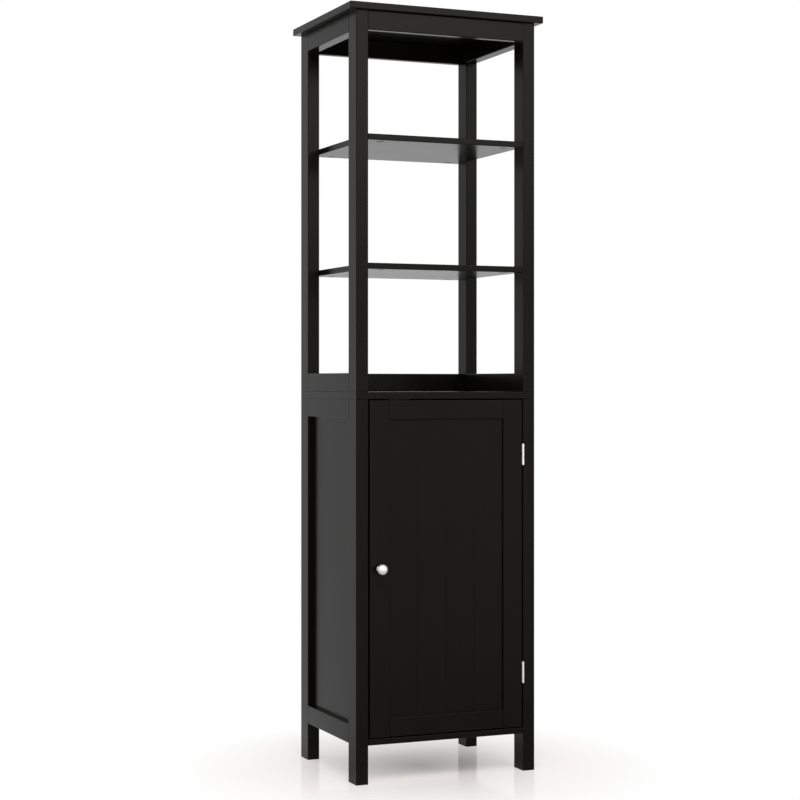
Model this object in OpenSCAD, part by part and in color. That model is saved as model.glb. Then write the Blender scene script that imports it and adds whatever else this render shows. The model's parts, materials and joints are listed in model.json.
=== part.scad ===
// Tall bathroom cabinet: an open rack of two shelves over a cupboard with one framed door.
// Millimetres. X runs to the right, Y to the back, Z up; the floor is at Z = 0.
// The origin lies under the middle of the overall box, from the knob's face to the rear of the top.

/* [Overall size] */
// Height from the floor to the top face
total_h = 1524; // [1400:1:1700]
// Width across the outsides of the posts
body_w = 388; // [340:1:480]
// Depth across the outsides of the posts
body_d = 314; // [290:1:400]
// Radius of the eased edges of posts, rails and boards
edge_r = 1.5; // [0.8:0.1:2.5]

/* [Top board] */
// Thickness of the top board
top_t = 14; // [12:0.5:20]
// How far the top board overhangs the posts at each side
top_side_over = 15.5; // [5:0.5:30]
// How far the top board overhangs the posts in front
top_front_over = 9; // [4:1:20]
// How far the top board overhangs the posts at the back
top_back_over = 7; // [0:1:20]

/* [Posts] */
// Width of a post, seen from the front
post_w = 25.5; // [24:0.5:35]
// Depth of a post, seen from the side
post_d = 42; // [38:1:55]
// Height of the lower posts, feet included
lower_post_h = 751; // [650:1:850]
// Free height under the bottom board
foot_h = 75.5; // [50:0.5:120]

/* [Boards] */
// Thickness of the board between rack and cupboard
mid_t = 14.5; // [12:0.5:20]
// Thickness of the two open shelves
shelf_t = 12; // [12:0.5:18]
// Thickness of the cupboard's bottom board
bottom_t = 12; // [12:0.5:18]
// Thickness of the cupboard's loose inner shelf
inner_shelf_t = 12; // [9:0.5:18]
// Side clearance of the inner shelf
inner_shelf_gap = 1.5; // [1.3:0.1:3]
// Distance from the door's back to the inner shelf
inner_shelf_setback = 6; // [5:0.5:20]

/* [Rails] */
// Height of the front apron and the other rails under the top
apron_h = 38; // [36:1:60]
// Thickness of the front apron and the rear rails
apron_t = 15; // [15:0.5:22]
// Height of the guard rails on the dividing board
guard_h = 37; // [35:1:60]
// Height of the cupboard's side rails
side_rail_h = 37.5; // [36:0.5:60]

/* [Panels] */
// Thickness of the side panels
side_panel_t = 5; // [3:0.5:6]
// Depth of a side panel in its posts and rails
panel_lap = 6; // [4:0.5:6]
// Thickness of the back panel
back_panel_t = 3; // [2.5:0.5:5]
// Wood left behind the back panel's groove
back_lip = 8; // [6:0.5:10]
// Depth of the back panel's grooves
back_groove_d = 6; // [4:0.5:8]
// End clearance of a panel in its groove
panel_play = 1; // [0.5:0.1:2]

/* [Door] */
// Thickness of the door's frame
door_t = 15; // [15:0.5:18]
// Width of the door's stiles
stile_w = 41.5; // [40:0.5:60]
// Height of the door's rails
door_rail_h = 37.5; // [34:0.5:60]
// Gap beside the door on the knob side
door_gap_side = 3; // [1.5:0.1:4]
// Gap above and below the door
door_gap_z = 2; // [1.5:0.1:4]
// Thickness of the door's panel
door_panel_t = 5; // [4:0.5:5]
// How far the panel lies behind the door's face
door_panel_recess = 5; // [3:0.5:6]
// Depth of the grooves that hold the panel
door_groove_d = 8; // [6:0.5:8]
// Planks marked out on the panel
plank_count = 4; // [2:1:8]
// Width of the V grooves between the planks
vee_w = 2; // [2:0.5:4]
// Depth of the V grooves
vee_d = 0.6; // [0.5:0.1:1.5]

/* [Knob] */
// Radius of the knob's rim
knob_r = 10.3; // [9:0.1:14]
// How far the knob stands out from the door
knob_reach = 25; // [22:0.5:32]
// Radius of the knob's foot
knob_foot_r = 6.3; // [6:0.1:9]
// Radius of the knob's stem
knob_stem_r = 4.6; // [4:0.1:5]
// Distance from the door's edge to the knob's centre
knob_inset = 20.5; // [14:0.5:24]
// Radius of the machine screw that holds the knob
knob_screw_r = 2; // [1.5:0.1:2.5]

/* [Hinges] */
// Height of a hinge
hinge_h = 41; // [36:1:60]
// Distance from the door's end to the middle of a hinge
hinge_inset = 110; // [60:1:150]
// Thickness of the hinge leaves
leaf_t = 1; // [0.8:0.1:1.4]
// Gap between the two closed leaves
leaf_gap = 0.7; // [0.2:0.1:1]
// How deep the leaves reach into the door's gap
leaf_w = 14; // [12:0.5:15]
// Outer radius of the knuckles
knuckle_r = 2.2; // [2:0.1:3]
// Number of knuckles, an odd number
knuckle_count = 5; // [3:2:7]
// Radius of the hinge pin
pin_r = 1.25; // [1:0.05:1.4]

/* [Shelf pegs] */
// Radius of a shelf peg
peg_r = 2.45; // [2:0.05:3]
// Rows of peg holes, an odd number
peg_rows = 3; // [1:2:7]
// Height from one row of peg holes to the next
peg_pitch = 50; // [32:1:64]
// Depth of a peg in its post
peg_depth = 8; // [6:0.5:12]
// Distance from the front of the posts to the front pegs
peg_inset = 28; // [24:0.5:28]

/* [Cam locks and dowels] */
// Radius of a cam lock
cam_r = 7.5; // [6:0.5:7.5]
// Distance from a board's end to its cam lock
cam_reach = 34; // [24:0.5:34]
// Distance from the top board to the cam locks under it
top_cam_reach = 26; // [24:0.5:26]
// Distance from the middle of the cabinet to those cam locks
top_cam_offset = 60; // [40:1:75]
// Radius of a cam bolt's thread
bolt_r = 2.5; // [2:0.1:3]
// Depth of a cam bolt in its post
bolt_depth = 11; // [8:0.5:12]
// Radius of the dowels of boards and door
thin_dowel_r = 3; // [2.5:0.5:3]
// Radius of the glued dowels of the side frames
thick_dowel_r = 4; // [3:0.5:4]
// Length of a dowel
dowel_l = 25; // [20:1:25]
// Radius of the studs that join rack and cupboard
stud_r = 3; // [2.5:0.5:4]
// Depth of a stud in each post
stud_depth = 22; // [16:1:30]

/* [Fastening to the wall] */
// Distance between the wall-fixing holes
wall_hole_spacing = 192; // [100:1:200]
// Radius of a wall-fixing hole
wall_hole_r = 1.5; // [1:0.1:2.5]
// Depth of a wall-fixing hole in the rear rail
wall_hole_depth = 11; // [8:0.5:12]

/* [Magnetic catch] */
// Width of the catch over its ears
catch_w = 46; // [44:1:60]
// Depth of the catch, front to back
catch_d = 16; // [14:0.5:20]
// Height of the catch
catch_h = 14; // [13:0.5:18]
// Distance from the knob stile to the middle of the catch
catch_inset = 28; // [24:1:60]
// Thickness of the strike plate on the door
strike_t = 1.2; // [0.8:0.1:2]

/* [Hidden] */
$fn = 48;

// Colours
black = [0.09, 0.09, 0.095];
dark_board = [0.07, 0.068, 0.066];
nickel = [0.82, 0.82, 0.8];
zinc = [0.66, 0.66, 0.65];
steel = [0.58, 0.58, 0.6];
beech = [0.8, 0.64, 0.44];
plastic = [0.12, 0.12, 0.12];
magnet_grey = [0.2, 0.2, 0.21];

// Clearances
hole_play = 0.1;
end_play = 0.5;
pin_play = 0.05;
pin_seat = 0.02;
cut = 1;

// Planes of the cabinet
half_w = body_w / 2;
inner_x = half_w - post_w;
post_x = half_w - post_w / 2;
front_y = (knob_reach - body_d - top_back_over) / 2;
back_y = front_y + body_d;
mid_y = front_y + body_d / 2;
frame_front_y = front_y + post_d;
frame_rear_y = back_y - post_d;
post_front_y = front_y + post_d / 2;
post_rear_y = back_y - post_d / 2;
back_panel_y = back_y - back_lip - back_panel_t;

// Levels of the cabinet
top_z = total_h - top_t;
rack_z = lower_post_h + mid_t;
rack_h = top_z - rack_z;
bay_h = (rack_h - 2 * shelf_t) / 3;
low_shelf_z = rack_z + bay_h;
high_shelf_z = low_shelf_z + shelf_t + bay_h;
apron_z = top_z - apron_h;
floor_z = foot_h + bottom_t;
side_top_rail_z = lower_post_h - side_rail_h;

// The door and its panel
gap_hinge = 2 * leaf_t + leaf_gap;
door_x0 = door_gap_side - inner_x;
door_x1 = inner_x - gap_hinge;
door_z0 = floor_z + door_gap_z;
door_z1 = lower_post_h - door_gap_z;
door_h = door_z1 - door_z0;
door_back_y = front_y + door_t;
field_x0 = door_x0 + stile_w;
field_x1 = door_x1 - stile_w;
field_z0 = door_z0 + door_rail_h;
field_z1 = door_z1 - door_rail_h;
tongue = door_groove_d - panel_play;
door_panel_y = front_y + door_panel_recess;
plank_pitch = (field_x1 - field_x0) / plank_count;
knob_x = door_x0 + knob_inset;
knob_z = (door_z0 + door_z1) / 2;

// The hinges
knuckle_gap = 0.3;
axis_x = inner_x - gap_hinge / 2;
axis_y = front_y - knuckle_r - knuckle_gap;
hinge_levels = [door_z0 + hinge_inset, door_z1 - hinge_inset];
knuckle_pitch = hinge_h / knuckle_count;
knuckle_h = knuckle_pitch - knuckle_gap;
pin_head_h = 1;
pin_head_r = pin_r + 0.6;

// Countersunk wood screws
screw_r = 1.5;
screw_head_r = 2.8;
screw_tip = 3;
screw_point_r = 0.3;
screw_cross_w = 0.75;
screw_cross_share = 0.6;
hinge_screw_l = 14;
hinge_screw_inset = 8;
hinge_screw_rise = hinge_h / 2 - hinge_screw_inset;
hinge_screw_spots = [
    for (z = hinge_levels, s = [-1, 1]) [0, front_y + leaf_w / 2, z + s * hinge_screw_rise]
];
wood_screw_head_h = 1.5;
back_screw_l = 16;
back_screw_share = 0.6;
back_screw_xs = [-back_screw_share * inner_x, 0, back_screw_share * inner_x];

// The inner shelf and its pegs
peg_length = 2 * peg_depth;
peg_collar_w = 1.5;
peg_collar_r = peg_r + peg_collar_w;
peg_collar_t = 1.2;
peg_level_0 = (floor_z + lower_post_h) / 2 - peg_pitch * (peg_rows - 1) / 2;
inner_shelf_z = (floor_z + lower_post_h) / 2 + peg_r;
peg_ys = [front_y + peg_inset, post_rear_y];

// A knock-down joint: its place on the seam, the way into the board, the way along the board's edge,
// the way out of the cam's mouth, the bolt's depth below that mouth, the cam's reach, the thread's depth
function joint(place, into, along, mouth, depth, reach, thread) =
    [place, into, along, mouth, depth, reach, thread];

function board_joints(z, t, ys) = [
    for (s = [-1, 1], y = ys)
        joint([s * inner_x, y, z + t / 2], [-s, 0, 0], [0, 1, 0], [0, 0, -1], t / 2, cam_reach, bolt_depth)
];

function rail_joints(y, z) = [
    for (s = [-1, 1])
        joint([s * inner_x, y, z], [-s, 0, 0], [0, 0, 1], [0, 1, 0], apron_t / 2, cam_reach, bolt_depth)
];

cam_tail = 4;
cam_edge = 3.5;
cam_wall = 0.7;
cam_cross_w = 1.8;
cam_cross_h = 1.2;
cam_cross_r = 0.7 * cam_r;
bolt_neck_l = cam_r;
bolt_head_back = 2;
bolt_head_front = 1;
bottom_rear_joint_y = back_panel_y - cam_r - cam_edge;
top_thread = 8;
low_shelf_joints = board_joints(low_shelf_z, shelf_t, [post_front_y, post_rear_y]);
high_shelf_joints = board_joints(high_shelf_z, shelf_t, [post_front_y, post_rear_y]);
bottom_joints = board_joints(foot_h, bottom_t, [post_front_y, bottom_rear_joint_y]);
apron_joints = rail_joints(front_y + apron_t / 2, apron_z + apron_h / 2);
rear_top_joints = rail_joints(back_y - apron_t / 2, apron_z + apron_h / 2);
rear_guard_joints = rail_joints(back_y - apron_t / 2, rack_z + guard_h / 2);
function top_joints_at(y) = [
    for (s = [-1, 1])
        joint([s * top_cam_offset, y, top_z], [0, 0, -1], [-1, 0, 0], [0, 1, 0],
              apron_t / 2, top_cam_reach, top_thread)
];
front_top_joints = top_joints_at(front_y + apron_t / 2);
back_top_joints = top_joints_at(back_y - apron_t / 2);
top_joints = concat(front_top_joints, back_top_joints);
rack_joints = concat(low_shelf_joints, high_shelf_joints, apron_joints, rear_top_joints, rear_guard_joints);
all_joints = concat(rack_joints, bottom_joints, top_joints);

// Dowels, each by its middle on the seam
dowel_shift = 13;
bottom_dowel_shift = 60;
frame_dowel_shift = 7;
function shelf_dowels(z) = [
    for (s = [-1, 1], y = [post_front_y + dowel_shift, post_rear_y - dowel_shift])
        [s * inner_x, y, z + shelf_t / 2]
];
function rail_dowels(y, z) = [for (s = [-1, 1]) [s * inner_x, y, z - dowel_shift]];
function side_rail_dowels(s, z) = [
    for (y = [frame_front_y, frame_rear_y], up = [-1, 1]) [s * post_x, y, z + up * frame_dowel_shift]
];
low_shelf_dowels = shelf_dowels(low_shelf_z);
high_shelf_dowels = shelf_dowels(high_shelf_z);
apron_dowels = rail_dowels(front_y + apron_t / 2, apron_z + apron_h / 2);
rear_top_dowels = rail_dowels(back_y - apron_t / 2, apron_z + apron_h / 2);
rear_guard_dowels = rail_dowels(back_y - apron_t / 2, rack_z + guard_h / 2);
rack_dowels = concat(low_shelf_dowels, high_shelf_dowels, apron_dowels, rear_top_dowels, rear_guard_dowels);
bottom_dowels = [
    for (s = [-1, 1], y = [-1, 1]) [s * inner_x, mid_y + y * bottom_dowel_shift, foot_h + bottom_t / 2]
];
function top_rail_dowels(s) = side_rail_dowels(s, apron_z + apron_h / 2);
function guard_dowels(s) = side_rail_dowels(s, rack_z + guard_h / 2);
function side_top_dowels(s) = side_rail_dowels(s, side_top_rail_z + side_rail_h / 2);
function side_bottom_dowels(s) = side_rail_dowels(s, foot_h + side_rail_h / 2);
door_dowel_near = 7.5;
door_dowel_far = 21;
door_dowel_spots = [
    for (x = [field_x0, field_x1], rise = [door_dowel_near, door_dowel_far])
        for (z = [door_z0 + rise, door_z1 - rise]) [x, front_y + door_t / 2, z]
];

// The magnetic catch hangs under the dividing board
catch_x = field_x0 + catch_inset;
catch_gap = 0.3;
catch_front_y = door_back_y + strike_t + catch_gap;
catch_ear_t = 3;
catch_ear_w = 9;
catch_edge_r = 1;
catch_corner_r = 2;
catch_floor = 1.5;
pole_l = 24;
pole_d = 12;
pole_t = 1.2;
pole_stand = 0.5;
magnet_h = 5.6;
catch_pocket_z = lower_post_h - catch_h + catch_floor;
catch_screw_l = 12;
catch_screw_shift = catch_w / 2 - catch_ear_w / 2;
strike_w = 38;
strike_h = 11;
strike_z = catch_pocket_z + pole_t + magnet_h / 2;
strike_screw_l = 10;

// The knob and its machine screw
knob_rim_r = 7.7;
knob_dome = 1.5;
knob_flare_r = 4;
knob_foot_t = 2;
knob_thread = 9;
knob_screw_head_r = 2 * knob_screw_r;
knob_screw_edge = 0.6;
knob_screw_head_h = 2.4;
knob_cross_w = 0.8;
knob_cross_h = 1.2;

// Play of the side panels in their grooves
panel_groove_play = 0.2;

// Everything at one corner: side is -1 left or 1 right, end is -1 front or 1 rear
function at_corner(spots, side, end) = [
    for (p = spots) if (sign(p.x) == side && sign(p.y - mid_y) == end) p
];
function joints_at(list, side, end) = [
    for (j = list) if (sign(j[0].x) == side && sign(j[0].y - mid_y) == end) j
];

// A rectangle with rounded corners, its low corner at the origin
module rounded_rect(a, b, r) {
    translate([r, 0]) square([a - 2 * r, b]);
    translate([0, r]) square([a, b - 2 * r]);
    for (x = [r, a - r], y = [r, b - r]) translate([x, y]) circle(r = r);
}

// Bars with four eased edges along X, Y or Z, the low corner at the origin
module bar_x(size, r = edge_r) {
    rotate([90, 0, 90]) linear_extrude(size.x) rounded_rect(size.y, size.z, r);
}
module bar_y(size, r = edge_r) {
    translate([0, size.y, 0]) rotate([90, 0, 0]) linear_extrude(size.y) rounded_rect(size.x, size.z, r);
}
module bar_z(size, r = edge_r) {
    linear_extrude(size.z) rounded_rect(size.x, size.y, r);
}

// A standing bar with its top edges eased too
module top_eased_bar(size, r = edge_r) {
    tall = [size.x, size.y, size.z + 2 * r];
    intersection() {
        bar_z(size, r);
        translate([0, 0, -2 * r]) bar_x(tall, r);
        translate([0, 0, -2 * r]) bar_y(tall, r);
    }
}

// A lying board with all its edges eased
module eased_board(size, r = edge_r) {
    intersection() {
        bar_x(size, r);
        bar_y(size, r);
        bar_z(size, r);
    }
}

// Turns a knock-down joint's own axes into the cabinet's: x into the board, z out of the cam's mouth
module at_joints(list) {
    for (j = list) {
        $depth = j[4];
        $reach = j[5];
        $thread = j[6];
        multmatrix([
            [j[1].x, j[2].x, j[3].x, j[0].x],
            [j[1].y, j[2].y, j[3].y, j[0].y],
            [j[1].z, j[2].z, j[3].z, j[0].z]
        ]) children();
    }
}

// A rod along X from x0 to x1
module rod_x(x0, x1, r) {
    translate([x0, 0, 0]) rotate([0, 90, 0]) cylinder(h = x1 - x0, r = r);
}

// Holes of the knock-down joints, in the piece that takes the thread and in the board with the cam
module thread_holes(list) {
    at_joints(list) rod_x(-$thread - end_play, cut, bolt_r + hole_play);
}
module cam_holes(list) {
    at_joints(list) {
        rod_x(-cut, $reach, bolt_r + 2 * end_play);
        translate([$reach, 0, -cam_tail]) cylinder(h = cam_tail + $depth + cut, r = cam_r + hole_play);
    }
}

// Dowels along X or Y, and the holes that take them
module dowels_x(spots, r, l = dowel_l) {
    for (p = spots) translate(p) rotate([0, 90, 0]) cylinder(h = l, r = r, center = true);
}
module dowels_y(spots, r, l = dowel_l) {
    for (p = spots) translate(p) rotate([90, 0, 0]) cylinder(h = l, r = r, center = true);
}
module thin_dowel_holes(spots) {
    dowels_x(spots, thin_dowel_r + hole_play, dowel_l + 2 * end_play);
}
module frame_dowel_holes(spots) {
    dowels_y(spots, thick_dowel_r + hole_play, dowel_l + 2 * end_play);
}

// A countersunk screw along X, its flat head at x = 0, and the hole in the wood behind it
module countersunk_screw(l, head_h, head_r = screw_head_r) {
    recess = screw_cross_share * head_h;
    difference() {
        union() {
            rotate([0, 90, 0]) cylinder(h = head_h, r1 = head_r, r2 = screw_r);
            rod_x(head_h / 2, l - screw_tip, screw_r);
            translate([l - screw_tip, 0, 0]) rotate([0, 90, 0])
                cylinder(h = screw_tip, r1 = screw_r, r2 = screw_point_r);
        }
        for (turn = [0, 90]) rotate([turn, 0, 0])
            translate([-cut, -head_r / 2, -screw_cross_w / 2]) cube([cut + recess, head_r, screw_cross_w]);
    }
}
module countersink(head_h, head_r = screw_head_r) {
    rotate([0, 90, 0]) cylinder(h = head_h, r1 = head_r + hole_play, r2 = screw_r + hole_play);
}
module screw_hole(l) {
    rod_x(-cut, l + end_play, screw_r + hole_play);
}

// The top board and the rails under it
module top_board() {
    size = [body_w + 2 * top_side_over, body_d + top_front_over + top_back_over, top_t];
    color(black) difference() {
        translate([-size.x / 2, front_y - top_front_over, top_z]) eased_board(size);
        thread_holes(top_joints);
    }
}

module cross_rail(y, z, h, joints, dowels) {
    difference() {
        translate([-inner_x, y, z]) bar_x([2 * inner_x, apron_t, h]);
        cam_holes(joints);
        thin_dowel_holes(dowels);
    }
}

module front_apron() {
    joints = concat(apron_joints, front_top_joints);
    color(black) cross_rail(front_y, apron_z, apron_h, joints, apron_dowels);
}

module rear_top_rail() {
    joints = concat(rear_top_joints, back_top_joints);
    color(black) difference() {
        cross_rail(back_y - apron_t, apron_z, apron_h, joints, rear_top_dowels);
        for (s = [-1, 1]) translate([s * wall_hole_spacing / 2, back_y + cut, apron_z + apron_h / 2])
            rotate([90, 0, 0]) cylinder(h = wall_hole_depth + cut, r = wall_hole_r);
    }
}

// A side rail between a front and a rear post, as thick as they are wide
module side_rail(s, z, h) {
    translate([s * post_x - post_w / 2, frame_front_y, z]) bar_y([post_w, frame_rear_y - frame_front_y, h]);
}

module top_side_rail(s) {
    color(black) difference() {
        side_rail(s, apron_z, apron_h);
        frame_dowel_holes(top_rail_dowels(s));
    }
}
module left_top_rail() { top_side_rail(-1); }
module right_top_rail() { top_side_rail(1); }

// The guard rails stand on the dividing board
module guard_side_rail(s) {
    color(black) difference() {
        side_rail(s, rack_z, guard_h);
        frame_dowel_holes(guard_dowels(s));
    }
}
module left_guard_rail() { guard_side_rail(-1); }
module right_guard_rail() { guard_side_rail(1); }
module rear_guard_rail() {
    color(black) cross_rail(back_y - apron_t, rack_z, guard_h, rear_guard_joints, rear_guard_dowels);
}

// Puts a post's low corner in its place in the plan
module at_post(side, end, z) {
    translate([side * post_x - post_w / 2, end < 0 ? front_y : frame_rear_y, z]) children();
}

// Studs run through the dividing board into the posts above and below it
module stud(side, end, play) {
    translate([side * post_x, end < 0 ? post_front_y : post_rear_y, lower_post_h - stud_depth - play])
        cylinder(h = mid_t + 2 * (stud_depth + play), r = stud_r + play * hole_play / end_play);
}
module post_studs() {
    color(steel) for (side = [-1, 1], end = [-1, 1]) stud(side, end, 0);
}

module upper_post(side, end) {
    color(black) difference() {
        at_post(side, end, rack_z) bar_z([post_w, post_d, rack_h]);
        thread_holes(joints_at(rack_joints, side, end));
        thin_dowel_holes(at_corner(rack_dowels, side, end));
        frame_dowel_holes(at_corner(concat(top_rail_dowels(side), guard_dowels(side)), side, end));
        stud(side, end, end_play);
    }
}
module upper_front_left_post() { upper_post(-1, -1); }
module upper_front_right_post() { upper_post(1, -1); }
module upper_rear_left_post() { upper_post(-1, 1); }
module upper_rear_right_post() { upper_post(1, 1); }

// The open shelves lie between the posts, cam locks on their undersides
module open_shelf(z, joints, dowels) {
    color(black) difference() {
        translate([-inner_x, front_y, z]) eased_board([2 * inner_x, body_d, shelf_t]);
        cam_holes(joints);
        thin_dowel_holes(dowels);
    }
}
module upper_open_shelf() { open_shelf(high_shelf_z, high_shelf_joints, high_shelf_dowels); }
module lower_open_shelf() { open_shelf(low_shelf_z, low_shelf_joints, low_shelf_dowels); }

// The board between rack and cupboard, flush with the posts all round
module dividing_board() {
    color(black) difference() {
        translate([-half_w, front_y, lower_post_h]) eased_board([body_w, body_d, mid_t]);
        for (side = [-1, 1], end = [-1, 1]) stud(side, end, end_play);
        at_catch_screws() screw_hole(catch_screw_l);
    }
}

// The space a side panel takes, out of the posts and rails round it
module side_panel_block(s, play) {
    low = [
        post_x - side_panel_t / 2 - play,
        frame_front_y - panel_lap - play,
        foot_h + side_rail_h - panel_lap - play
    ];
    size = [
        side_panel_t + play,
        frame_rear_y - frame_front_y + 2 * (panel_lap + play),
        side_top_rail_z - foot_h - side_rail_h + 2 * (panel_lap + play)
    ];
    mirror([s < 0 ? 1 : 0, 0, 0]) translate(low) cube(size);
}

// Side panels stand in grooves in the middle of the posts and rails
module side_panel(s) {
    color(black) side_panel_block(s, 0);
}
module left_side_panel() { side_panel(-1); }
module right_side_panel() { side_panel(1); }

// The back panel stands in grooves of the rear posts, from the bottom board's underside up
module back_panel_block(depth) {
    translate([-inner_x - depth, back_panel_y, foot_h])
        cube([2 * (inner_x + depth), back_panel_t, lower_post_h - foot_h]);
}
module back_panel() {
    color(dark_board) difference() {
        back_panel_block(back_groove_d - panel_play);
        at_back_screws() {
            countersink(wood_screw_head_h);
            screw_hole(back_screw_l);
        }
    }
}

module at_back_screws() {
    for (x = back_screw_xs) translate([x, back_panel_y + back_panel_t, foot_h + bottom_t / 2])
        rotate([0, 0, -90]) children();
}
module back_panel_screws() {
    color(steel) at_back_screws() countersunk_screw(back_screw_l, wood_screw_head_h);
}

// Holes for the shelf pegs in one post's inner face
module peg_holes(side, end) {
    for (row = [0 : peg_rows - 1])
        translate([side * inner_x, peg_ys[end < 0 ? 0 : 1], peg_level_0 + row * peg_pitch])
            rotate([0, 90, 0])
                cylinder(h = 2 * (peg_depth + end_play), r = peg_r + hole_play, center = true);
}

// A lower post carries side rails, side panel, bottom board, pegs, and door hinges or back panel
module lower_post(side, end) {
    color(black) difference() {
        at_post(side, end, 0) top_eased_bar([post_w, post_d, lower_post_h]);
        thread_holes(joints_at(bottom_joints, side, end));
        frame_dowel_holes(at_corner(concat(side_top_dowels(side), side_bottom_dowels(side)), side, end));
        stud(side, end, end_play);
        peg_holes(side, end);
        side_panel_block(side, panel_groove_play);
        if (end > 0) back_panel_block(back_groove_d);
        if (end < 0 && side > 0) for (p = hinge_screw_spots)
            translate([inner_x, p.y, p.z]) screw_hole(hinge_screw_l);
    }
}
module lower_front_left_post() { lower_post(-1, -1); }
module lower_front_right_post() { lower_post(1, -1); }
module lower_rear_left_post() { lower_post(-1, 1); }
module lower_rear_right_post() { lower_post(1, 1); }

module side_top_rail(s) {
    color(black) difference() {
        side_rail(s, side_top_rail_z, side_rail_h);
        frame_dowel_holes(side_top_dowels(s));
        side_panel_block(s, panel_groove_play);
    }
}
module side_bottom_rail(s) {
    color(black) difference() {
        side_rail(s, foot_h, side_rail_h);
        frame_dowel_holes(side_bottom_dowels(s));
        thin_dowel_holes([for (p = bottom_dowels) if (sign(p.x) == s) p]);
        side_panel_block(s, panel_groove_play);
    }
}
module left_side_top_rail() { side_top_rail(-1); }
module right_side_top_rail() { side_top_rail(1); }
module left_side_bottom_rail() { side_bottom_rail(-1); }
module right_side_bottom_rail() { side_bottom_rail(1); }

// The bottom board shows its front edge under the door and ends at the back panel
module bottom_board() {
    color(black) difference() {
        translate([-inner_x, front_y, foot_h]) eased_board([2 * inner_x, back_panel_y - front_y, bottom_t]);
        cam_holes(bottom_joints);
        thin_dowel_holes(bottom_dowels);
        at_back_screws() screw_hole(back_screw_l);
    }
}

// The inner shelf rests on four pegs in the middle row of holes
module inner_shelf() {
    shelf_y = door_back_y + inner_shelf_setback;
    shelf_w = 2 * (inner_x - inner_shelf_gap);
    color(black) translate([-shelf_w / 2, shelf_y, inner_shelf_z])
        eased_board([shelf_w, back_panel_y - panel_play - shelf_y, inner_shelf_t]);
}
module shelf_pegs() {
    color(nickel) for (s = [-1, 1], y = peg_ys) translate([s * inner_x, y, inner_shelf_z - peg_r])
        rotate([0, -90 * s, 0]) {
            cylinder(h = peg_length, r = peg_r, center = true);
            cylinder(h = peg_collar_t, r = peg_collar_r);
        }
}

// The groove that holds the door's panel, cut into stiles and rails
module panel_groove() {
    translate([field_x0 - door_groove_d, door_panel_y, field_z0 - door_groove_d])
        cube([
            field_x1 - field_x0 + 2 * door_groove_d,
            door_panel_t,
            field_z1 - field_z0 + 2 * door_groove_d
        ]);
}

module door_stile(x) {
    difference() {
        translate([x, front_y, door_z0]) bar_z([stile_w, door_t, door_h]);
        panel_groove();
        thin_dowel_holes(door_dowel_spots);
    }
}
module door_hinge_stile() {
    color(black) difference() {
        door_stile(field_x1);
        for (p = hinge_screw_spots)
            translate([door_x1, p.y, p.z]) mirror([1, 0, 0]) screw_hole(hinge_screw_l);
    }
}
module door_knob_stile() {
    color(black) difference() {
        door_stile(door_x0);
        translate([knob_x, door_back_y + cut, knob_z]) rotate([90, 0, 0])
            cylinder(h = door_t + 2 * cut, r = knob_screw_r + hole_play);
    }
}

// Door rails have their ends eased too, so that a V runs down each joint with a stile
module door_rail(z) {
    size = [field_x1 - field_x0, door_t, door_rail_h];
    difference() {
        translate([field_x0, front_y, z]) intersection() {
            bar_x(size);
            bar_z(size);
        }
        panel_groove();
        thin_dowel_holes(door_dowel_spots);
    }
}
module door_top_rail() {
    color(black) difference() {
        door_rail(field_z1);
        at_strike_screw() screw_hole(strike_screw_l);
    }
}
module door_bottom_rail() {
    color(black) door_rail(door_z0);
}

// V grooves mark the planks on the door's panel
module door_panel() {
    panel_h = field_z1 - field_z0 + 2 * tongue;
    color(black) difference() {
        translate([field_x0 - tongue, door_panel_y, field_z0 - tongue])
            cube([field_x1 - field_x0 + 2 * tongue, door_panel_t, panel_h]);
        for (i = [1 : plank_count - 1])
            translate([field_x0 + i * plank_pitch, door_panel_y, field_z0 - tongue - cut])
                linear_extrude(panel_h + 2 * cut) polygon([[-vee_w, -vee_d], [vee_w, -vee_d], [0, vee_d]]);
    }
}
module door_dowels() {
    color(beech) dowels_x(door_dowel_spots, thin_dowel_r);
}

// The knob: a foot, a stem that flares, and a full round rim that runs on into a low dome
module knob_profile() {
    rim_x = knob_r - knob_rim_r;
    rim_z = knob_reach - knob_dome - knob_rim_r;
    dome_h = knob_dome + knob_rim_r;
    dome_r = (rim_x * rim_x + dome_h * dome_h - knob_rim_r * knob_rim_r) / (2 * knob_dome);
    meet_z = rim_z + knob_rim_r * (dome_r - dome_h) / (dome_r - knob_rim_r);
    flare_z = rim_z - knob_rim_r / 2;
    difference() {
        union() {
            square([knob_foot_r - knob_foot_t / 2, knob_foot_t]);
            square([knob_foot_r, knob_foot_t / 2]);
            translate([knob_foot_r - knob_foot_t / 2, knob_foot_t / 2]) circle(r = knob_foot_t / 2);
            square([knob_stem_r, rim_z]);
            difference() {
                square([knob_stem_r + knob_flare_r, flare_z]);
                square([knob_stem_r + knob_flare_r + cut, flare_z - knob_flare_r]);
                translate([knob_stem_r + knob_flare_r, flare_z - knob_flare_r]) circle(r = knob_flare_r);
            }
            translate([0, rim_z - knob_rim_r]) square([rim_x, 2 * knob_rim_r]);
            translate([rim_x, rim_z]) circle(r = knob_rim_r);
            intersection() {
                translate([0, knob_reach - dome_r]) circle(r = dome_r);
                translate([0, meet_z]) square([knob_r, knob_reach - meet_z + cut]);
            }
        }
        translate([-2 * knob_r, -cut]) square([2 * knob_r, knob_reach + 2 * cut]);
        translate([-cut, -cut]) square([cut + knob_screw_r + hole_play, cut + knob_thread + end_play]);
    }
}
module knob() {
    color(nickel) translate([knob_x, front_y, knob_z]) rotate([90, 0, 0]) rotate_extrude() knob_profile();
}
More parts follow.
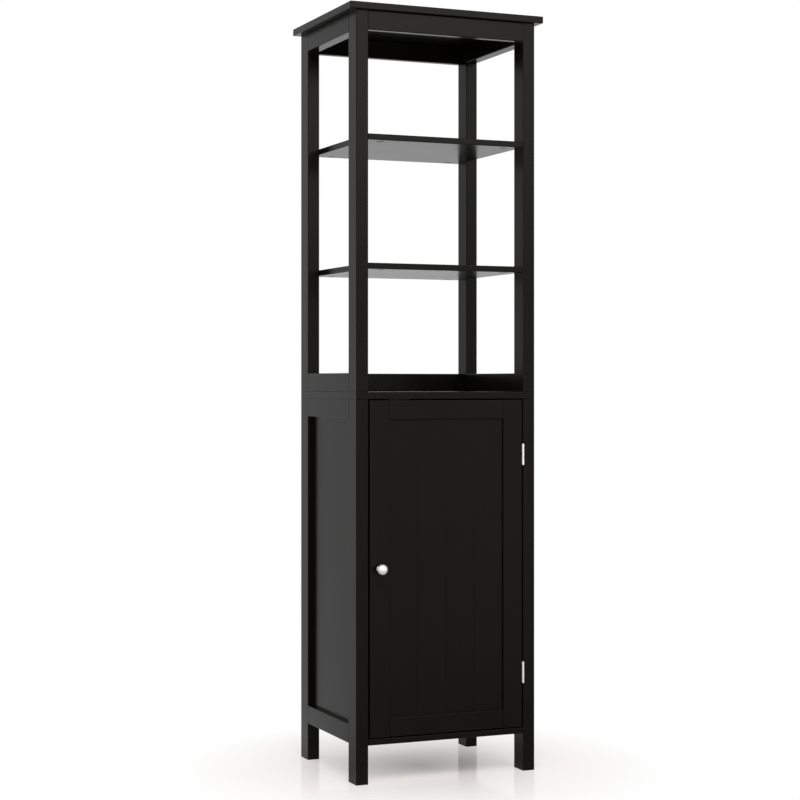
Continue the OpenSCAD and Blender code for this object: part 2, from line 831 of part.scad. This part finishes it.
module knob_screw() {
    head_r = knob_screw_head_r;
    color(steel) translate([knob_x, door_back_y, knob_z]) rotate([90, 0, 0]) difference() {
        union() {
            cylinder(h = door_t + knob_thread, r = knob_screw_r);
            translate([0, 0, -knob_screw_head_h])
                cylinder(h = knob_screw_head_h, r1 = head_r - knob_screw_edge, r2 = head_r);
        }
        for (turn = [0, 90]) rotate([0, 0, turn])
            translate([-head_r / 2, -knob_cross_w / 2, -knob_screw_head_h - cut])
                cube([head_r, knob_cross_w, knob_cross_h + cut]);
    }
}

// A hinge leaf: a plate in the door's gap and every second knuckle, counted from first
module hinge_leaf(x, first) {
    for (z = hinge_levels) translate([0, 0, z - hinge_h / 2]) difference() {
        union() {
            translate([x, front_y, 0]) cube([leaf_t, leaf_w, hinge_h]);
            for (k = [first : 2 : knuckle_count - 1])
                translate([0, 0, k * knuckle_pitch + knuckle_gap / 2]) {
                    translate([axis_x, axis_y, 0]) cylinder(h = knuckle_h, r = knuckle_r);
                    translate([x, axis_y, 0]) cube([leaf_t, front_y - axis_y + cut, knuckle_h]);
                }
        }
        translate([axis_x, axis_y, -cut])
            cylinder(h = hinge_h + 2 * cut, r = pin_r + (first == 0 ? pin_seat : pin_play));
    }
}
module hinge_frame_leaves() {
    color(nickel) difference() {
        hinge_leaf(inner_x - leaf_t, 0);
        for (p = hinge_screw_spots) translate([inner_x - leaf_t, p.y, p.z]) countersink(leaf_t);
    }
}
module hinge_door_leaves() {
    color(nickel) difference() {
        hinge_leaf(door_x1, 1);
        for (p = hinge_screw_spots)
            translate([door_x1 + leaf_t, p.y, p.z]) mirror([1, 0, 0]) countersink(leaf_t);
    }
}
module hinge_pins() {
    color(nickel) for (z = hinge_levels) translate([axis_x, axis_y, z - hinge_h / 2]) {
        cylinder(h = hinge_h, r = pin_r);
        for (head_z = [-pin_head_h, hinge_h])
            translate([0, 0, head_z]) cylinder(h = pin_head_h, r = pin_head_r);
    }
}
module hinge_frame_screws() {
    color(steel) for (p = hinge_screw_spots) translate([inner_x - leaf_t, p.y, p.z])
        countersunk_screw(hinge_screw_l, leaf_t);
}
module hinge_door_screws() {
    color(steel) for (p = hinge_screw_spots) translate([door_x1 + leaf_t, p.y, p.z]) mirror([1, 0, 0])
        countersunk_screw(hinge_screw_l, leaf_t);
}

// The catch: a housing with two ears, a magnet between two pole plates, a plate on the door
module at_catch_screws() {
    for (s = [-1, 1])
        translate([catch_x + s * catch_screw_shift, catch_front_y + catch_d / 2, lower_post_h - catch_ear_t])
            rotate([0, -90, 0]) children();
}
module catch_housing() {
    body_x = catch_w - 2 * catch_ear_w;
    housing_y = catch_front_y + pole_stand;
    color(plastic) difference() {
        union() {
            translate([catch_x - body_x / 2, housing_y, lower_post_h - catch_h])
                bar_z([body_x, catch_d - pole_stand, catch_h], catch_edge_r);
            translate([catch_x - catch_w / 2, housing_y, lower_post_h - catch_ear_t])
                bar_z([catch_w, catch_d - pole_stand, catch_ear_t], catch_corner_r);
        }
        translate([catch_x - pole_l / 2, housing_y - cut, catch_pocket_z])
            cube([pole_l, pole_d - pole_stand + cut, 2 * pole_t + magnet_h]);
        at_catch_screws() {
            countersink(wood_screw_head_h);
            screw_hole(catch_screw_l);
        }
    }
}
module catch_magnet() {
    color(magnet_grey) translate([catch_x - pole_l / 2, catch_front_y + cut, catch_pocket_z + pole_t])
        cube([pole_l, pole_d - cut, magnet_h]);
}
module catch_pole_plates() {
    color(steel) for (z = [0, pole_t + magnet_h])
        translate([catch_x - pole_l / 2, catch_front_y, catch_pocket_z + z]) cube([pole_l, pole_d, pole_t]);
}
module catch_screws() {
    color(steel) at_catch_screws() countersunk_screw(catch_screw_l, wood_screw_head_h);
}

module at_strike_screw() {
    translate([catch_x, door_back_y + strike_t, strike_z]) rotate([0, 0, -90]) children();
}
module strike_plate() {
    color(steel) difference() {
        translate([catch_x - strike_w / 2, door_back_y, strike_z - strike_h / 2])
            bar_y([strike_w, strike_t, strike_h], catch_corner_r);
        at_strike_screw() countersink(strike_t);
    }
}
module strike_screw() {
    color(steel) at_strike_screw() countersunk_screw(strike_screw_l, strike_t);
}

// A cam lock: a drum with a slot for the bolt's head and a cross in its face
module cam_locks() {
    slot = bolt_r + cam_wall;
    color(zinc) at_joints(all_joints) translate([$reach, 0, 0]) difference() {
        translate([0, 0, end_play - cam_tail]) cylinder(h = cam_tail + $depth - 2 * end_play, r = cam_r);
        translate([-cam_r - cut, -slot, -slot]) cube([cam_r + cut + slot, 2 * slot, 2 * slot]);
        for (turn = [0, 90]) rotate([0, 0, turn])
            translate([-cam_cross_r, -cam_cross_w / 2, $depth - end_play - cam_cross_h])
                cube([2 * cam_cross_r, cam_cross_w, cam_cross_h + cut]);
    }
}

// A cam bolt: thread in the post, shank, neck, and the head that the cam draws in
module cam_bolts() {
    color(steel) at_joints(all_joints) {
        rod_x(-$thread, $reach - bolt_head_back - bolt_neck_l, bolt_r);
        rod_x($reach - bolt_head_back - bolt_neck_l, $reach - bolt_head_back, bolt_r / 2);
        rod_x($reach - bolt_head_back, $reach + bolt_head_front, bolt_r);
    }
}
module board_dowels() {
    color(beech) dowels_x(concat(rack_dowels, bottom_dowels), thin_dowel_r);
}
module frame_dowels() {
    color(beech) for (s = [-1, 1]) {
        dowels_y(concat(top_rail_dowels(s), guard_dowels(s)), thick_dowel_r);
        dowels_y(concat(side_top_dowels(s), side_bottom_dowels(s)), thick_dowel_r);
    }
}

top_board();
front_apron();
rear_top_rail();
left_top_rail();
right_top_rail();
upper_front_left_post();
upper_front_right_post();
upper_rear_left_post();
upper_rear_right_post();
left_guard_rail();
right_guard_rail();
rear_guard_rail();
upper_open_shelf();
lower_open_shelf();
dividing_board();
post_studs();
lower_front_left_post();
lower_front_right_post();
lower_rear_left_post();
lower_rear_right_post();
left_side_top_rail();
left_side_bottom_rail();
right_side_top_rail();
right_side_bottom_rail();
left_side_panel();
right_side_panel();
back_panel();
back_panel_screws();
bottom_board();
inner_shelf();
shelf_pegs();
door_hinge_stile();
door_knob_stile();
door_top_rail();
door_bottom_rail();
door_panel();
door_dowels();
knob();
knob_screw();
hinge_frame_leaves();
hinge_door_leaves();
hinge_pins();
hinge_frame_screws();
hinge_door_screws();
catch_housing();
catch_magnet();
catch_pole_plates();
catch_screws();
strike_plate();
strike_screw();
cam_locks();
cam_bolts();
board_dowels();
frame_dowels();
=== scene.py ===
"""Looks of a tall bathroom cabinet: satin black lacquer on fibreboard, satin nickel knob and hinges.

Lengths are in metres where no name says mm, and levels of light run from 0, black, to 1, white.
"""
import json
import math

import bpy
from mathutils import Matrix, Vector

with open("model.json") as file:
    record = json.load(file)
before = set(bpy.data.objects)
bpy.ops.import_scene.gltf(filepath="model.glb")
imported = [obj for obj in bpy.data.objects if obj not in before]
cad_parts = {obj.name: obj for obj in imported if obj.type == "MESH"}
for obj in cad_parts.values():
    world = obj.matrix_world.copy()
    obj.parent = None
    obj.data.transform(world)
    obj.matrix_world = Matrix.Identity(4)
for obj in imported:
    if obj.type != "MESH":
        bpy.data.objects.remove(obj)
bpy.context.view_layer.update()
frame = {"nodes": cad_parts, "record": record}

MM = 0.001
RECORD = frame["record"]
NODES = frame["nodes"]
# How close the points lie that are one at the middle of the knob's turned face
KNOB_MIDDLE_GAP = 0.02 * MM

# The camera stands level, at mid height and to the left of the front; its turn is in radians, to the right
CAMERA_PLACE = (-1.5479, -3.5613, 0.78376)
CAMERA_TURN = 0.4008
SENSOR_MM = 36.0
LENS_MM = 84.988
LENS_SHIFT = -0.02186

# Each softbox: its name, place, the point that it faces, its width, its height and its watts
SOFTBOXES = (
    ("key", (-0.6, -2.4, 3.4), (0.0, 0.0, 0.6), 2.0, 2.0, 80.0),
    ("high_front", (1.7, -5.2, 2.95), (0.0, 0.0, 1.2), 2.4, 2.5, 40.0),
    ("fill", (-1.9, -4.2, 1.5), (0.0, 0.0, 0.7), 2.2, 2.2, 20.0),
)
# The even light of the studio on what is dull
EVEN_LIGHT = "bcbcbc"

# The studio in a reflection: degrees from straight in front, towards the right, and how white it is there.
# It is white in front and right behind, and dimmer behind on either side and beside the right.
STUDIO_LEVELS = (
    (-170, 1.0), (-160, 0.82), (-152, 0.42), (-145, 0.4), (-135, 0.75), (-120, 1.0),
    (64, 1.0), (80, 0.6), (116, 0.6), (130, 0.8), (150, 0.84),
)
# The floor's glow where a reflection meets it, with painted shade: how far behind the cabinet's middle, and
# how white it is there.
# The painted shade is darkest close to the cabinet's front, and the glow is all white past the two ends.
FLOOR_LEVELS = ((-3.7, 0.93), (-2.05, 0.78), (-1.04, 0.64), (-0.33, 0.4), (0.0, 0.7), (0.3, 1.0))
FLOOR_LEVELS_FRONT = -5.0
FLOOR_LEVELS_BACK = 1.0
# The studio's levels go on across the floor's glow as painted shade, by the angle at which a place lies from
# this point, so that studio and floor meet without a step where the cabinet's left side mirrors them
LEFT_SIDE = (-0.19, -0.08, 0.0)

# The floor runs this far to each side. Its real shadow fades into a plain white glow, painted light, from
# its middle to its reach, and SHADOW_WHITE is the share of that glow in its middle.
FLOOR_HALF = 12.0
SHADOW_MIDDLE = (0.0, -0.02, 0.0)
SHADOW_REACH = 0.5
SHADOW_WHITE = 0.03

# A Mix node's two colour inputs and its colour output go by number, as its other sockets share their names
COLOUR_A, COLOUR_B, MIXED_COLOUR = 6, 7, 2


def linear(code):
    """An sRGB hex colour, such as 1a1a1a, as linear red, green, blue and alpha."""
    parts = [int(code[i:i + 2], 16) / 255 for i in (0, 2, 4)]
    return [p / 12.92 if p <= 0.04045 else ((p + 0.055) / 1.055) ** 2.4 for p in parts] + [1.0]


WHITE = linear("ffffff")


def add(tree, kind, sockets=None, **settings):
    """Adds a node. sockets gives each input a value, or the output that feeds it."""
    node = tree.nodes.new(kind)
    for name, value in settings.items():
        setattr(node, name, value)
    for key, value in (sockets or {}).items():
        if isinstance(value, bpy.types.NodeSocket):
            tree.links.new(value, node.inputs[key])
        else:
            node.inputs[key].default_value = value
    return node


def surface(name, sockets):
    """A new material: its tree, its shader with these values set, and the object's own coordinates."""
    material = bpy.data.materials.new(name)
    material.use_nodes = True
    tree = material.node_tree
    shader = tree.nodes["Principled BSDF"]
    for key, value in sockets.items():
        shader.inputs[key].default_value = value
    place = add(tree, "ShaderNodeTexCoord").outputs["Object"]
    return material, tree, shader, place


def per_metre(size_mm):
    """The texture scale at which one feature measures size_mm."""
    return 1 / (size_mm * MM)


def satin_black_lacquer():
    """Sprayed satin lacquer on fibreboard: near black, with a soft even sheen and a faint orange peel."""
    # A lacquer's IOR is about 1.5; 1.2 gives the dim reflections of this one
    material, tree, shader, place = surface("satin_black_lacquer", {"IOR": 1.2})
    # The coat's tone and sheen drift a little, over patches about as wide as a hand
    cloud = add(tree, "ShaderNodeTexNoise", {"Vector": place, "Scale": per_metre(90), "Detail": 3.0})
    tone = add(tree, "ShaderNodeValToRGB", {"Fac": cloud.outputs["Fac"]})
    dark, light = tone.color_ramp.elements
    dark.position, dark.color = 0.3, linear("0c0a07")
    light.position, light.color = 0.7, linear("0f0c09")
    tree.links.new(tone.outputs["Color"], shader.inputs["Base Color"])
    sheen = add(tree, "ShaderNodeMapRange", {"Value": cloud.outputs["Fac"], "To Min": 0.21, "To Max": 0.26})
    tree.links.new(sheen.outputs["Result"], shader.inputs["Roughness"])
    # The peel of the real spray is about 1 mm across; it is drawn at 4 mm so that it shows at all
    peel = add(tree, "ShaderNodeTexNoise", {"Vector": place, "Scale": per_metre(4), "Detail": 2.0})
    bump = add(tree, "ShaderNodeBump",
               {"Height": peel.outputs["Fac"], "Strength": 0.25, "Distance": 0.05 * MM})
    tree.links.new(bump.outputs["Normal"], shader.inputs["Normal"])
    return material


def painted_hardboard():
    """Painted hardboard: near black and flatter than lacquer, with the fine pits of pressed fibre."""
    # Its thin paint mirrors less than a typical IOR of 1.5 would give
    material, tree, shader, place = surface(
        "painted_hardboard", {"IOR": 1.25, "Base Color": linear("0c0b0b")})
    # Real fibres are under 1 mm wide; they are drawn at 2.5 mm so that they show
    fibre = add(tree, "ShaderNodeTexNoise", {"Vector": place, "Scale": per_metre(2.5), "Detail": 5.0})
    rough = add(tree, "ShaderNodeMapRange", {"Value": fibre.outputs["Fac"], "To Min": 0.45, "To Max": 0.6})
    tree.links.new(rough.outputs["Result"], shader.inputs["Roughness"])
    bump = add(tree, "ShaderNodeBump",
               {"Height": fibre.outputs["Fac"], "Strength": 0.4, "Distance": 0.1 * MM})
    tree.links.new(bump.outputs["Normal"], shader.inputs["Normal"])
    return material


def fine_metal(name, colour, roughness, grain_mm, bare=1.0):
    """A finely grained metal. roughness gives its lowest and highest, and bare is 1 without a haze.

    The real grain is about 0.1 mm, so grain_mm draws it coarser, as coarse as it needs to show.
    """
    low, high = roughness
    material, tree, shader, place = surface(name, {"Metallic": bare, "Base Color": linear(colour)})
    grain = add(tree, "ShaderNodeTexNoise", {"Vector": place, "Scale": per_metre(grain_mm), "Detail": 4.0})
    rough = add(tree, "ShaderNodeMapRange", {"Value": grain.outputs["Fac"], "To Min": low, "To Max": high})
    tree.links.new(rough.outputs["Result"], shader.inputs["Roughness"])
    bump = add(tree, "ShaderNodeBump",
               {"Height": grain.outputs["Fac"], "Strength": 0.1, "Distance": 0.02 * MM})
    tree.links.new(bump.outputs["Normal"], shader.inputs["Normal"])
    return material


def moulded_abs():
    """Black ABS from a finely eroded mould: even, with a low gloss."""
    material, tree, shader, place = surface("moulded_abs", {"IOR": 1.53, "Base Color": linear("161616")})
    # The pits of the real mould are about 0.1 mm; they are drawn at 0.6 mm so that they show
    pits = add(tree, "ShaderNodeTexNoise", {"Vector": place, "Scale": per_metre(0.6), "Detail": 2.0})
    rough = add(tree, "ShaderNodeMapRange", {"Value": pits.outputs["Fac"], "To Min": 0.4, "To Max": 0.55})
    tree.links.new(rough.outputs["Result"], shader.inputs["Roughness"])
    return material


def sintered_ferrite():
    """Sintered ferrite: dark grey ceramic magnet with a ground, slightly grainy face."""
    material, tree, shader, place = surface("sintered_ferrite", {"IOR": 2.2, "Roughness": 0.5})
    # The sintered grains are under 0.1 mm; they are drawn at 0.8 mm so that they show
    grain = add(tree, "ShaderNodeTexNoise", {"Vector": place, "Scale": per_metre(0.8), "Detail": 3.0})
    tone = add(tree, "ShaderNodeValToRGB", {"Fac": grain.outputs["Fac"]})
    dark, light = tone.color_ramp.elements
    dark.color, light.color = linear("242426"), linear("3a3a3d")
    tree.links.new(tone.outputs["Color"], shader.inputs["Base Color"])
    return material


def beech():
    """Steamed beech dowel: pinkish brown and dull, with fine flecks."""
    material, tree, shader, place = surface("beech_dowel", {"IOR": 1.5, "Roughness": 0.6})
    fleck = add(tree, "ShaderNodeTexNoise", {"Vector": place, "Scale": per_metre(1.5), "Detail": 4.0})
    tone = add(tree, "ShaderNodeValToRGB", {"Fac": fleck.outputs["Fac"]})
    dark, light = tone.color_ramp.elements
    dark.color, light.color = linear("b98a5c"), linear("d8b284")
    tree.links.new(tone.outputs["Color"], shader.inputs["Base Color"])
    return material


FINISHES = {
    "black_lacquer": satin_black_lacquer(),
    "back_board": painted_hardboard(),
    # Satin nickel plate: pale and warm, and evenly bright, as a thin haze of grain spreads what it mirrors
    "nickel": fine_metal("satin_nickel", "f4f3f0", (0.26, 0.36), grain_mm=1.2, bare=0.55),
    # Zinc plate on steel: a bluish grey with a soft shine
    "zinc_steel": fine_metal("zinc_plated_steel", "c4c6c8", (0.28, 0.42), grain_mm=1.5),
    # Raw zinc casting: a duller and darker grey than the plate
    "zinc_casting": fine_metal("zinc_casting", "9c9c9a", (0.4, 0.6), grain_mm=0.8),
    "catch_plastic": moulded_abs(),
    "magnet_ferrite": sintered_ferrite(),
    "beech_dowel": beech(),
}


def dress_nodes():
    """Gives each CAD node the finish of its record slot."""
    for part in RECORD["subparts"]:
        mesh = NODES[part["node"]].data
        mesh.materials.clear()
        mesh.materials.append(FINISHES[part["material_slot"]])
    # The knob's face is turned: its points are joined at the middle, and its shading is evened out
    knob = NODES["knob"]
    knob.modifiers.new("close_middle", "WELD").merge_threshold = KNOB_MIDDLE_GAP
    knob.modifiers.new("even_shading", "WEIGHTED_NORMAL").keep_sharp = True


def new_object(name, data):
    """A new object in the scene."""
    item = bpy.data.objects.new(name, data)
    bpy.context.scene.collection.objects.link(item)
    return item


def level_along(tree, value, first, last, rows):
    """How white it is at a value, from rows of a value and a level. It is all white at first and at last."""
    share = add(tree, "ShaderNodeMapRange", {"Value": value, "From Min": first, "From Max": last})
    ramp = add(tree, "ShaderNodeValToRGB", {"Fac": share.outputs["Result"]})
    stops = ramp.color_ramp.elements
    for at, level in rows:
        stops.new((at - first) / (last - first)).color = (level, level, level, 1.0)
    stops[0].color = stops[-1].color = WHITE
    return ramp.outputs["Color"]


def studio_level(tree, direction):
    """How white the studio is in the reflection that goes off in a direction."""
    part = add(tree, "ShaderNodeSeparateXYZ", {"Vector": direction})
    front = add(tree, "ShaderNodeMath", {0: part.outputs["Y"], 1: -1.0}, operation="MULTIPLY")
    turn = add(tree, "ShaderNodeMath",
               {0: part.outputs["X"], 1: front.outputs["Value"]}, operation="ARCTAN2")
    rows = [(math.radians(degrees), level) for degrees, level in STUDIO_LEVELS]
    return level_along(tree, turn.outputs["Value"], -math.pi, math.pi, rows)


def floor_glow_painted_shade(tree, place):
    """How white the floor's glow is in the reflection that meets it at a place, with painted shade by angle
    and by depth.
    """
    beside = add(tree, "ShaderNodeVectorMath", {0: place, 1: LEFT_SIDE}, operation="SUBTRACT")
    painted_shade_by_angle = studio_level(tree, beside.outputs["Vector"])
    behind = add(tree, "ShaderNodeSeparateXYZ", {"Vector": place}).outputs["Y"]
    painted_shade_by_depth = level_along(tree, behind, FLOOR_LEVELS_FRONT, FLOOR_LEVELS_BACK, FLOOR_LEVELS)
    both = add(tree, "ShaderNodeMix", {"Factor": 1.0, COLOUR_A: painted_shade_by_angle, COLOUR_B: painted_shade_by_depth},
               data_type="RGBA", blend_type="MULTIPLY")
    return both.outputs[MIXED_COLOUR]


def white_to_camera(tree, level):
    """The level given where it is mirrored, and plain white as the camera sees it."""
    ray = add(tree, "ShaderNodeLightPath")
    seen = add(tree, "ShaderNodeMix",
               {"Factor": ray.outputs["Is Camera Ray"], COLOUR_A: level, COLOUR_B: WHITE}, data_type="RGBA")
    return seen.outputs[MIXED_COLOUR]


def pale_floor():
    """A glossy white floor that shows the shadow and the feet's reflections, and fades out to white."""
    mesh = bpy.data.meshes.new("floor")
    sides = ((-1, -1), (1, -1), (1, 1), (-1, 1))
    mesh.from_pydata([(x * FLOOR_HALF, y * FLOOR_HALF, 0) for x, y in sides], [], [(0, 1, 2, 3)])
    floor = new_object("floor", mesh)
    # Gloss paint has an IOR of about 1.5; 1.3 mirrors as little as the photograph's floor does
    material, tree, shader, place = surface(
        "studio_floor", {"Roughness": 0.12, "IOR": 1.3, "Base Color": linear("fcefe9")})
    # A white glow, painted light, lightens the floor's real shadow and grows to all white at the shadow's
    # reach
    away = add(tree, "ShaderNodeVectorMath", {0: place, 1: SHADOW_MIDDLE}, operation="DISTANCE")
    white = add(tree, "ShaderNodeMapRange",
                {"Value": away.outputs["Value"], "From Max": SHADOW_REACH, "To Min": SHADOW_WHITE})
    # Where it is mirrored, the floor's glow carries painted shade, dimmest near the cabinet's front
    glow = add(tree, "ShaderNodeEmission", {"Color": white_to_camera(tree, floor_glow_painted_shade(tree, place))})
    blend = add(tree, "ShaderNodeMixShader",
                {0: white.outputs["Result"], 1: shader.outputs["BSDF"], 2: glow.outputs["Emission"]})
    tree.links.new(blend.outputs["Shader"], tree.nodes["Material Output"].inputs["Surface"])
    mesh.materials.append(material)


def studio_world():
    """White to the camera, the studio's levels in reflections, and an even light on what is dull."""
    world = bpy.data.worlds.new("studio")
    bpy.context.scene.world = world
    world.use_nodes = True
    tree = world.node_tree
    ray = add(tree, "ShaderNodeLightPath")
    mirrored = add(tree, "ShaderNodeMath",
                   {0: ray.outputs["Is Glossy Ray"], 1: ray.outputs["Is Transmission Ray"]},
                   operation="MAXIMUM")
    direction = add(tree, "ShaderNodeTexCoord").outputs["Generated"]
    level = add(tree, "ShaderNodeMix",
                {"Factor": mirrored.outputs["Value"], COLOUR_A: linear(EVEN_LIGHT),
                 COLOUR_B: studio_level(tree, direction)}, data_type="RGBA")
    background = tree.nodes["Background"]
    background.inputs["Strength"].default_value = 1.0
    tree.links.new(white_to_camera(tree, level.outputs[MIXED_COLOUR]), background.inputs["Color"])


def softbox(name, place, aim, width, height, power):
    """A soft lamp of this size, at a place, that faces the point it is aimed at."""
    lamp = bpy.data.lights.new(name, "AREA")
    lamp.shape = "RECTANGLE"
    lamp.size = width
    lamp.size_y = height
    lamp.energy = power
    holder = new_object(name, lamp)
    holder.location = place
    holder.rotation_euler = (Vector(place) - Vector(aim)).to_track_quat("Z", "Y").to_euler()


def camera():
    """The camera at the photograph's viewing angle, about 23 degrees to the left of the door's front."""
    lens = bpy.data.cameras.new("camera")
    lens.sensor_width = SENSOR_MM
    lens.lens = LENS_MM
    lens.shift_y = LENS_SHIFT
    holder = new_object("camera", lens)
    holder.location = CAMERA_PLACE
    holder.rotation_euler = (math.pi / 2, 0, -CAMERA_TURN)
    bpy.context.scene.camera = holder


dress_nodes()
pale_floor()
studio_world()
for box in SOFTBOXES:
    softbox(*box)
camera()
bpy.context.scene.view_settings.view_transform = "Standard"
